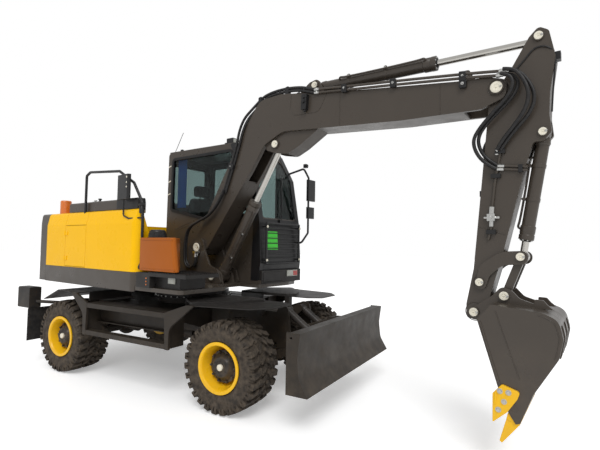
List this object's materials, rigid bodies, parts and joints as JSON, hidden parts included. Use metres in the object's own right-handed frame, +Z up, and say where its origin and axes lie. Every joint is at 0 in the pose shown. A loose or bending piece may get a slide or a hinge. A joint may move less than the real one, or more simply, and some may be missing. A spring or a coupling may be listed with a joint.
{
  "type": "wheeled excavator",
  "caption": "Wheeled excavator on a rubber-tyred chassis: slewing cab and engine hood, one-piece boom, arm and bucket on hydraulic cylinders, dozer blade and steered front wheels.",
  "frame": {"origin": "on the ground, under the slewing axis, midway between the axles", "axes": "+X toward the blade and the front wheels, +Y to the machine's left, +Z up; the upper structure rests swung 6 degrees to the right"},
  "size_m": [6.1185, 2.1905, 3.1837],
  "materials": {
    "black_paint": "satin",
    "cab_glazing": "polished",
    "chrome_rod": "polished",
    "engine_iron": "matte",
    "flap_rubber": "matte",
    "lamp_plastic": "matte",
    "orange_paint": "satin",
    "seat_cloth": "matte",
    "taupe_paint": "satin",
    "tyre_rubber": "matte",
    "yellow_paint": "satin"
  },
  "bodies": {
    "chassis": {"chassis_frame": "taupe_paint", "slew_ring": "black_paint", "side_steps": "taupe_paint", "front_fenders": "black_paint", "rear_fenders": "black_paint", "front_axle": "taupe_paint", "rear_axle": "taupe_paint", "driveline": "black_paint", "rear_lamps": "lamp_plastic", "mud_flaps": "flap_rubber"},
    "knuckle_left": {"knuckle_left": "taupe_paint"},
    "knuckle_right": {"knuckle_right": "taupe_paint"},
    "steering_rod": {"steering_rod": "black_paint"},
    "wheel_front_left": {"tyre_front_left": "tyre_rubber", "rim_front_left": "yellow_paint"},
    "wheel_front_right": {"tyre_front_right": "tyre_rubber", "rim_front_right": "yellow_paint"},
    "wheel_rear_left": {"tyre_rear_left": "tyre_rubber", "rim_rear_left": "yellow_paint"},
    "wheel_rear_right": {"tyre_rear_right": "tyre_rubber", "rim_rear_right": "yellow_paint"},
    "blade_arms": {"blade_arms": "taupe_paint"},
    "blade": {"blade": "taupe_paint"},
    "blade_link": {"blade_link": "taupe_paint"},
    "blade_cylinder_barrels": {"blade_cylinder_barrels": "black_paint"},
    "blade_cylinder_rods": {"blade_cylinder_rods": "chrome_rod"},
    "upper": {"upper_frame": "taupe_paint", "counterweight": "taupe_paint", "engine_hood": "yellow_paint", "engine_block": "engine_iron", "tool_box": "orange_paint", "hand_rails": "black_paint", "cab_shell": "taupe_paint", "cab_glass": "cab_glazing", "seat": "seat_cloth", "console": "lamp_plastic", "cab_mirrors": "black_paint", "hood_skirt": "taupe_paint", "filler_cap": "black_paint", "deck_step": "black_paint", "hood_mirror": "black_paint", "hood_beacon": "orange_paint", "front_guard": "black_paint"},
    "hood_lid": {"hood_lid": "black_paint"},
    "hood_door_left": {"hood_door_left": "yellow_paint"},
    "hood_door_right": {"hood_door_right": "yellow_paint"},
    "cab_door": {"cab_door": "taupe_paint", "door_glass": "cab_glazing"},
    "boom": {"boom": "taupe_paint"},
    "boom_cylinder_barrel": {"boom_cylinder_barrel": "taupe_paint"},
    "boom_cylinder_rod": {"boom_cylinder_rod": "chrome_rod"},
    "arm": {"arm": "taupe_paint"},
    "arm_cylinder_barrel": {"arm_cylinder_barrel": "taupe_paint"},
    "arm_cylinder_rod": {"arm_cylinder_rod": "chrome_rod"},
    "bucket_cylinder_barrel": {"bucket_cylinder_barrel": "taupe_paint"},
    "bucket_cylinder_rod": {"bucket_cylinder_rod": "chrome_rod"},
    "guide_links": {"guide_links": "taupe_paint"},
    "bucket_link": {"bucket_link": "taupe_paint"},
    "bucket": {"bucket": "taupe_paint"}
  },
  "joints": [
    {"name": "steer_left", "type": "hinge", "parent": "chassis", "child": "knuckle_left", "pos_m": [1.21, 0.52, 0.42], "axis": [0, 0, 1], "range_deg": [-27, 27]},
    {"name": "steer_right", "type": "hinge", "parent": "chassis", "child": "knuckle_right", "pos_m": [1.21, -0.52, 0.42], "axis": [0, 0, 1], "range_deg": [-27.5, 27.5]},
    {"name": "steering_rod_slide", "type": "slide", "parent": "chassis", "child": "steering_rod", "axis": [0, 1, 0], "range_m": [-0.06728, 0.06728]},
    {"name": "wheel_front_left_spin", "type": "hinge", "parent": "knuckle_left", "child": "wheel_front_left", "pos_m": [1.21, 0.755, 0.42], "axis": [0, 1, 0], "continuous": true},
    {"name": "wheel_front_right_spin", "type": "hinge", "parent": "knuckle_right", "child": "wheel_front_right", "pos_m": [1.21, -0.755, 0.42], "axis": [0, 1, 0], "continuous": true},
    {"name": "wheel_rear_left_spin", "type": "hinge", "parent": "chassis", "child": "wheel_rear_left", "pos_m": [-1.21, 0.755, 0.42], "axis": [0, 1, 0], "continuous": true},
    {"name": "wheel_rear_right_spin", "type": "hinge", "parent": "chassis", "child": "wheel_rear_right", "pos_m": [-1.21, -0.755, 0.42], "axis": [0, 1, 0], "continuous": true},
    {"name": "blade_lift", "type": "hinge", "parent": "chassis", "child": "blade_arms", "pos_m": [1.47, 0, 0.455], "axis": [0, 1, 0], "range_deg": [-6, 40]},
    {"name": "blade_tilt", "type": "hinge", "parent": "blade_arms", "child": "blade", "pos_m": [1.9, 0, 0.6], "axis": [0, 1, 0], "range_deg": [-40.8, 6.12]},
    {"name": "blade_link_lift", "type": "hinge", "parent": "chassis", "child": "blade_link", "pos_m": [1.47, 0, 0.645], "axis": [0, 1, 0], "range_deg": [-6.12, 40.8]},
    {"name": "blade_cylinder_swing", "type": "hinge", "parent": "chassis", "child": "blade_cylinder_barrels", "pos_m": [1.458, 0, 0.862], "axis": [0, 1, 0], "range_deg": [-2.8, 18.66]},
    {"name": "blade_cylinder_stroke", "type": "slide", "parent": "blade_cylinder_barrels", "child": "blade_cylinder_rods", "axis": [0.8191, 0, -0.5736], "range_m": [-0.03142, 0.20945]},
    {"name": "swing", "type": "hinge", "parent": "chassis", "child": "upper", "pos_m": [0, 0, 1], "axis": [0, 0, 1], "continuous": true},
    {"name": "cab_door_swing", "type": "hinge", "parent": "upper", "child": "cab_door", "pos_m": [-0.15059, 0.9781, 1.9], "axis": [0, 0, 1], "range_deg": [0, 110]},
    {"name": "hood_door_left_swing", "type": "hinge", "parent": "upper", "child": "hood_door_left", "pos_m": [-1.61044, 1.13254, 1.43], "axis": [0, 0, 1], "range_deg": [0, 100]},
    {"name": "hood_door_right_swing", "type": "hinge", "parent": "upper", "child": "hood_door_right", "pos_m": [-1.39302, -0.81686, 1.49], "axis": [0, 0, -1], "range_deg": [0, 100]},
    {"name": "hood_lid_swing", "type": "hinge", "parent": "upper", "child": "hood_lid", "pos_m": [-0.63967, -0.34603, 1.91], "axis": [-0.9945, 0.1045, 0], "range_deg": [0, 60]},
    {"name": "boom_lift", "type": "hinge", "parent": "upper", "child": "boom", "pos_m": [0.22078, -0.0232, 1.497], "axis": [0.1045, 0.9945, 0], "range_deg": [-30, 55]},
    {"name": "boom_cylinder_swing", "type": "hinge", "parent": "upper", "child": "boom_cylinder_barrel", "pos_m": [0.48732, -0.05122, 1.165], "axis": [0.1045, 0.9945, 0], "range_deg": [-30.2, 55.36]},
    {"name": "boom_cylinder_stroke", "type": "slide", "parent": "boom_cylinder_barrel", "child": "boom_cylinder_rod", "axis": [0.5101, -0.0536, 0.8584], "range_m": [-0.39864, 0.21744]},
    {"name": "arm_swing", "type": "hinge", "parent": "boom", "child": "arm", "pos_m": [3.48182, -0.36595, 2.745], "axis": [-0.1045, -0.9945, 0], "range_deg": [-32, 70]},
    {"name": "arm_cylinder_swing", "type": "hinge", "parent": "boom", "child": "arm_cylinder_barrel", "pos_m": [1.82296, -0.1916, 3.126], "axis": [-0.1045, -0.9945, 0], "range_deg": [-2, 4.37]},
    {"name": "arm_cylinder_stroke", "type": "slide", "parent": "arm_cylinder_barrel", "child": "arm_cylinder_rod", "axis": [0.9942, -0.1045, -0.0237], "range_m": [-0.48998, 0.22399]},
    {"name": "bucket_curl", "type": "hinge", "parent": "arm", "child": "bucket", "pos_m": [3.31275, -0.34818, 1.056], "axis": [-0.1045, -0.9945, 0], "range_deg": [-118, 14]},
    {"name": "bucket_cylinder_swing", "type": "hinge", "parent": "arm", "child": "bucket_cylinder_barrel", "pos_m": [3.7762, -0.39689, 2.376], "axis": [-0.1045, -0.9945, 0], "range_deg": [-0.56, 4.74]},
    {"name": "bucket_cylinder_stroke", "type": "slide", "parent": "bucket_cylinder_barrel", "child": "bucket_cylinder_rod", "axis": [-0.161, 0.0169, -0.9868], "range_m": [-0.06018, 0.50726]},
    {"name": "guide_link_swing", "type": "hinge", "parent": "arm", "child": "guide_links", "pos_m": [3.35253, -0.35236, 1.282], "axis": [-0.1045, -0.9945, 0], "range_deg": [-92.54, 10.98]},
    {"name": "bucket_link_swing", "type": "hinge", "parent": "guide_links", "child": "bucket_link", "pos_m": [3.63001, -0.38153, 1.48], "axis": [-0.1045, -0.9945, 0], "range_deg": [-8.35, 70.36]}
  ],
  "couplings": [
    {"joint": "steer_right", "follows": "steer_left", "ratio": 1},
    {"joint": "steering_rod_slide", "follows": "steer_left", "m_per_rad": 0.13997},
    {"joint": "blade_tilt", "follows": "blade_lift", "ratio": -1},
    {"joint": "blade_link_lift", "follows": "blade_lift", "ratio": 1},
    {"joint": "blade_cylinder_swing", "follows": "blade_lift", "ratio": 0.4573},
    {"joint": "blade_cylinder_stroke", "follows": "blade_lift", "m_per_rad": 0.29413},
    {"joint": "boom_cylinder_swing", "follows": "boom_lift", "ratio": 0.9868},
    {"joint": "boom_cylinder_stroke", "follows": "boom_lift", "m_per_rad": -0.40713},
    {"joint": "arm_cylinder_swing", "follows": "arm_swing", "ratio": 0.061187},
    {"joint": "arm_cylinder_stroke", "follows": "arm_swing", "m_per_rad": -0.39319},
    {"joint": "bucket_cylinder_swing", "follows": "bucket_curl", "ratio": -0.039403},
    {"joint": "bucket_cylinder_stroke", "follows": "bucket_curl", "m_per_rad": -0.24148},
    {"joint": "guide_link_swing", "follows": "bucket_curl", "ratio": 0.76887},
    {"joint": "bucket_link_swing", "follows": "bucket_curl", "ratio": -0.58458}
  ]
}
